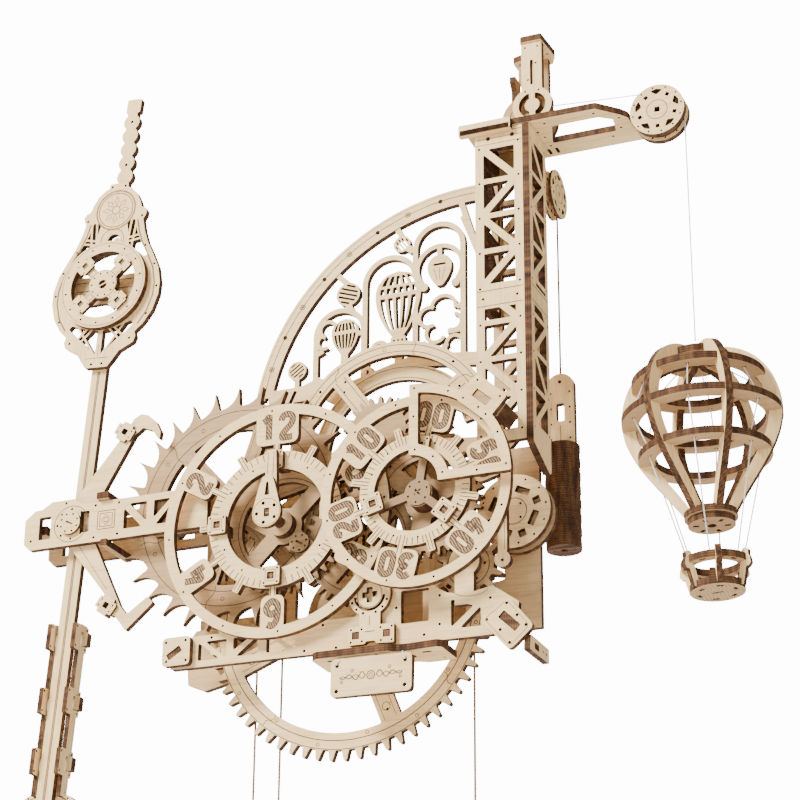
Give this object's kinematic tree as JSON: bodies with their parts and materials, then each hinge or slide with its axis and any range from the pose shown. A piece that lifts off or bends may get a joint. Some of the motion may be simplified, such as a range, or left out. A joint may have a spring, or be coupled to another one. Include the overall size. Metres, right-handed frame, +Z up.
{
  "type": "wooden pendulum clock puzzle",
  "caption": "Wall-hung pendulum clock of laser-cut plywood: meshing wheels, turning hour and minute dials, an arch with balloon ornaments and a lattice tower crane hoisting a ribbed balloon.",
  "frame": {"origin": "on the wall plane, where the hour dial's axis meets it", "axes": "+X to the viewer's right, +Y into the wall, +Z up"},
  "size_m": [0.3381, 0.0672, 0.3952],
  "materials": {
    "birch_face": "bare sanded plywood",
    "birch_edge": "laser-burnt plywood edge",
    "cord_white": "thin twisted thread",
    "cord_brown": "waxed brown cord"
  },
  "bodies": {
    "frame": {"front_beam_left": "birch_face", "front_beam_lower": "birch_face", "rear_frame": "birch_face", "hour_bridge": "birch_face", "beam_shelf": "birch_face", "keyhole_bracket": "birch_face", "spacer_tip": "birch_edge", "spacer_upper": "birch_edge", "spacer_lower": "birch_edge", "pivot_pin": "birch_face", "end_plate_right": "birch_face", "arch_frame": "birch_face", "tower_front": "birch_face", "tower_right": "birch_face", "jib_plate": "birch_face", "winch_plate": "birch_face", "winch_cap": "birch_edge", "window_frame": "birch_face", "hour_pointer": "birch_face", "reel_pawl": "birch_face", "sign_board": "birch_face", "sign_loop_1": "cord_white", "sign_loop_2": "cord_white", "balloon_string": "cord_white", "winch_string": "cord_white", "counter_cord": "cord_brown", "drive_cord_fixed": "cord_brown", "drive_cord_running": "cord_brown", "winding_cord": "cord_brown", "winding_ring": "birch_face", "wall_bracket": "birch_face"},
    "pendulum": {"pendulum_rod": "birch_face", "pendulum_comb": "birch_face", "pendulum_medallion": "birch_face", "pendulum_rosette": "birch_face", "anchor": "birch_face", "pendulum_ballast": "birch_face"},
    "escape": {"escape_wheel": "birch_face"},
    "drive": {"drive_wheel": "birch_face"},
    "upper": {"upper_wheel": "birch_face"},
    "minute": {"minute_dial": "birch_face", "minute_wheel": "birch_face"},
    "idler": {"idler_wheel": "birch_face"},
    "hour": {"hour_dial": "birch_face", "hour_wheel": "birch_face"},
    "winder": {"winding_pinion": "birch_face"},
    "reel": {"winding_reel": "birch_face"},
    "balloon": {"balloon_envelope": "birch_face", "balloon_basket": "birch_face", "rigging_1": "cord_white", "rigging_2": "cord_white", "rigging_3": "cord_white", "rigging_4": "cord_white", "rigging_5": "cord_white", "rigging_6": "cord_white"},
    "sheave": {"jib_sheave": "birch_face"},
    "winch": {"winch_drum": "birch_edge"},
    "counter_pulley": {"counter_sheave": "birch_face"},
    "counterweight": {"counterweight": "birch_edge"},
    "drive_weight": {"drive_weight": "birch_face"}
  },
  "joints": [
    {"name": "pendulum_swing", "type": "hinge", "parent": "frame", "child": "pendulum", "pos_m": [-0.1, -0.0412, 0.0135], "axis": [0, 1, 0], "range_deg": [-10.06, 1.94]},
    {"name": "drive_turn", "type": "hinge", "parent": "frame", "child": "drive", "pos_m": [0.0234, -0.0312, -0.0345], "axis": [0, 1, 0], "continuous": true},
    {"name": "escape_turn", "type": "hinge", "parent": "frame", "child": "escape", "pos_m": [-0.0265, -0.0372, 0.0148], "axis": [0, 1, 0], "continuous": true},
    {"name": "upper_turn", "type": "hinge", "parent": "frame", "child": "upper", "pos_m": [0.043, -0.0352, 0.035], "axis": [0, 1, 0], "continuous": true},
    {"name": "minute_turn", "type": "hinge", "parent": "frame", "child": "minute", "pos_m": [0.0644, -0.0472, 0.0017], "axis": [0, 1, 0], "continuous": true},
    {"name": "idler_turn", "type": "hinge", "parent": "frame", "child": "idler", "pos_m": [0.033, -0.0442, -0.011], "axis": [0, 1, 0], "continuous": true},
    {"name": "hour_turn", "type": "hinge", "parent": "frame", "child": "hour", "pos_m": [0, -0.0472, 0], "axis": [0, 1, 0], "continuous": true},
    {"name": "winder_turn", "type": "hinge", "parent": "frame", "child": "winder", "pos_m": [0.081, -0.0452, -0.027], "axis": [0, 1, 0], "continuous": true},
    {"name": "reel_turn", "type": "hinge", "parent": "frame", "child": "reel", "pos_m": [0.0986, -0.0352, -0.0046], "axis": [0, 1, 0], "continuous": true},
    {"name": "balloon_lift", "type": "slide", "parent": "frame", "child": "balloon", "axis": [0, 0, 1], "range_m": [0, 0.07], "deforming": ["balloon_string"]},
    {"name": "counterweight_drop", "type": "slide", "parent": "frame", "child": "counterweight", "axis": [0, 0, 1], "range_m": [-0.0701, 0]},
    {"name": "jib_sheave_turn", "type": "hinge", "parent": "frame", "child": "sheave", "pos_m": [0.1643, -0.0322, 0.1687], "axis": [0, 1, 0], "range_deg": [-380, 0]},
    {"name": "winch_turn", "type": "hinge", "parent": "frame", "child": "winch", "pos_m": [0.1035, -0.0242, 0.182], "axis": [0, 1, 0], "range_deg": [-560, 0]},
    {"name": "counter_sheave_turn", "type": "hinge", "parent": "frame", "child": "counter_pulley", "pos_m": [0.11, -0.0135, 0.15], "axis": [1, 0, 0], "range_deg": [-1060, 0]},
    {"name": "drive_weight_rise", "type": "slide", "parent": "frame", "child": "drive_weight", "axis": [0, 0, 1], "range_m": [0, 0.06], "deforming": ["drive_cord_fixed", "drive_cord_running"]}
  ],
  "couplings": [
    {"joint": "escape_turn", "follows": "drive_turn", "ratio": -7.1111},
    {"joint": "upper_turn", "follows": "drive_turn", "ratio": -5.8182},
    {"joint": "minute_turn", "follows": "drive_turn", "ratio": 3.4909},
    {"joint": "idler_turn", "follows": "drive_turn", "ratio": -1.1636},
    {"joint": "hour_turn", "follows": "drive_turn", "ratio": 0.29091},
    {"joint": "counterweight_drop", "follows": "balloon_lift", "ratio": -1},
    {"joint": "jib_sheave_turn", "follows": "balloon_lift", "rad_per_m": -93.458},
    {"joint": "winch_turn", "follows": "balloon_lift", "rad_per_m": -138.89},
    {"joint": "counter_sheave_turn", "follows": "balloon_lift", "rad_per_m": -263.16}
  ]
}
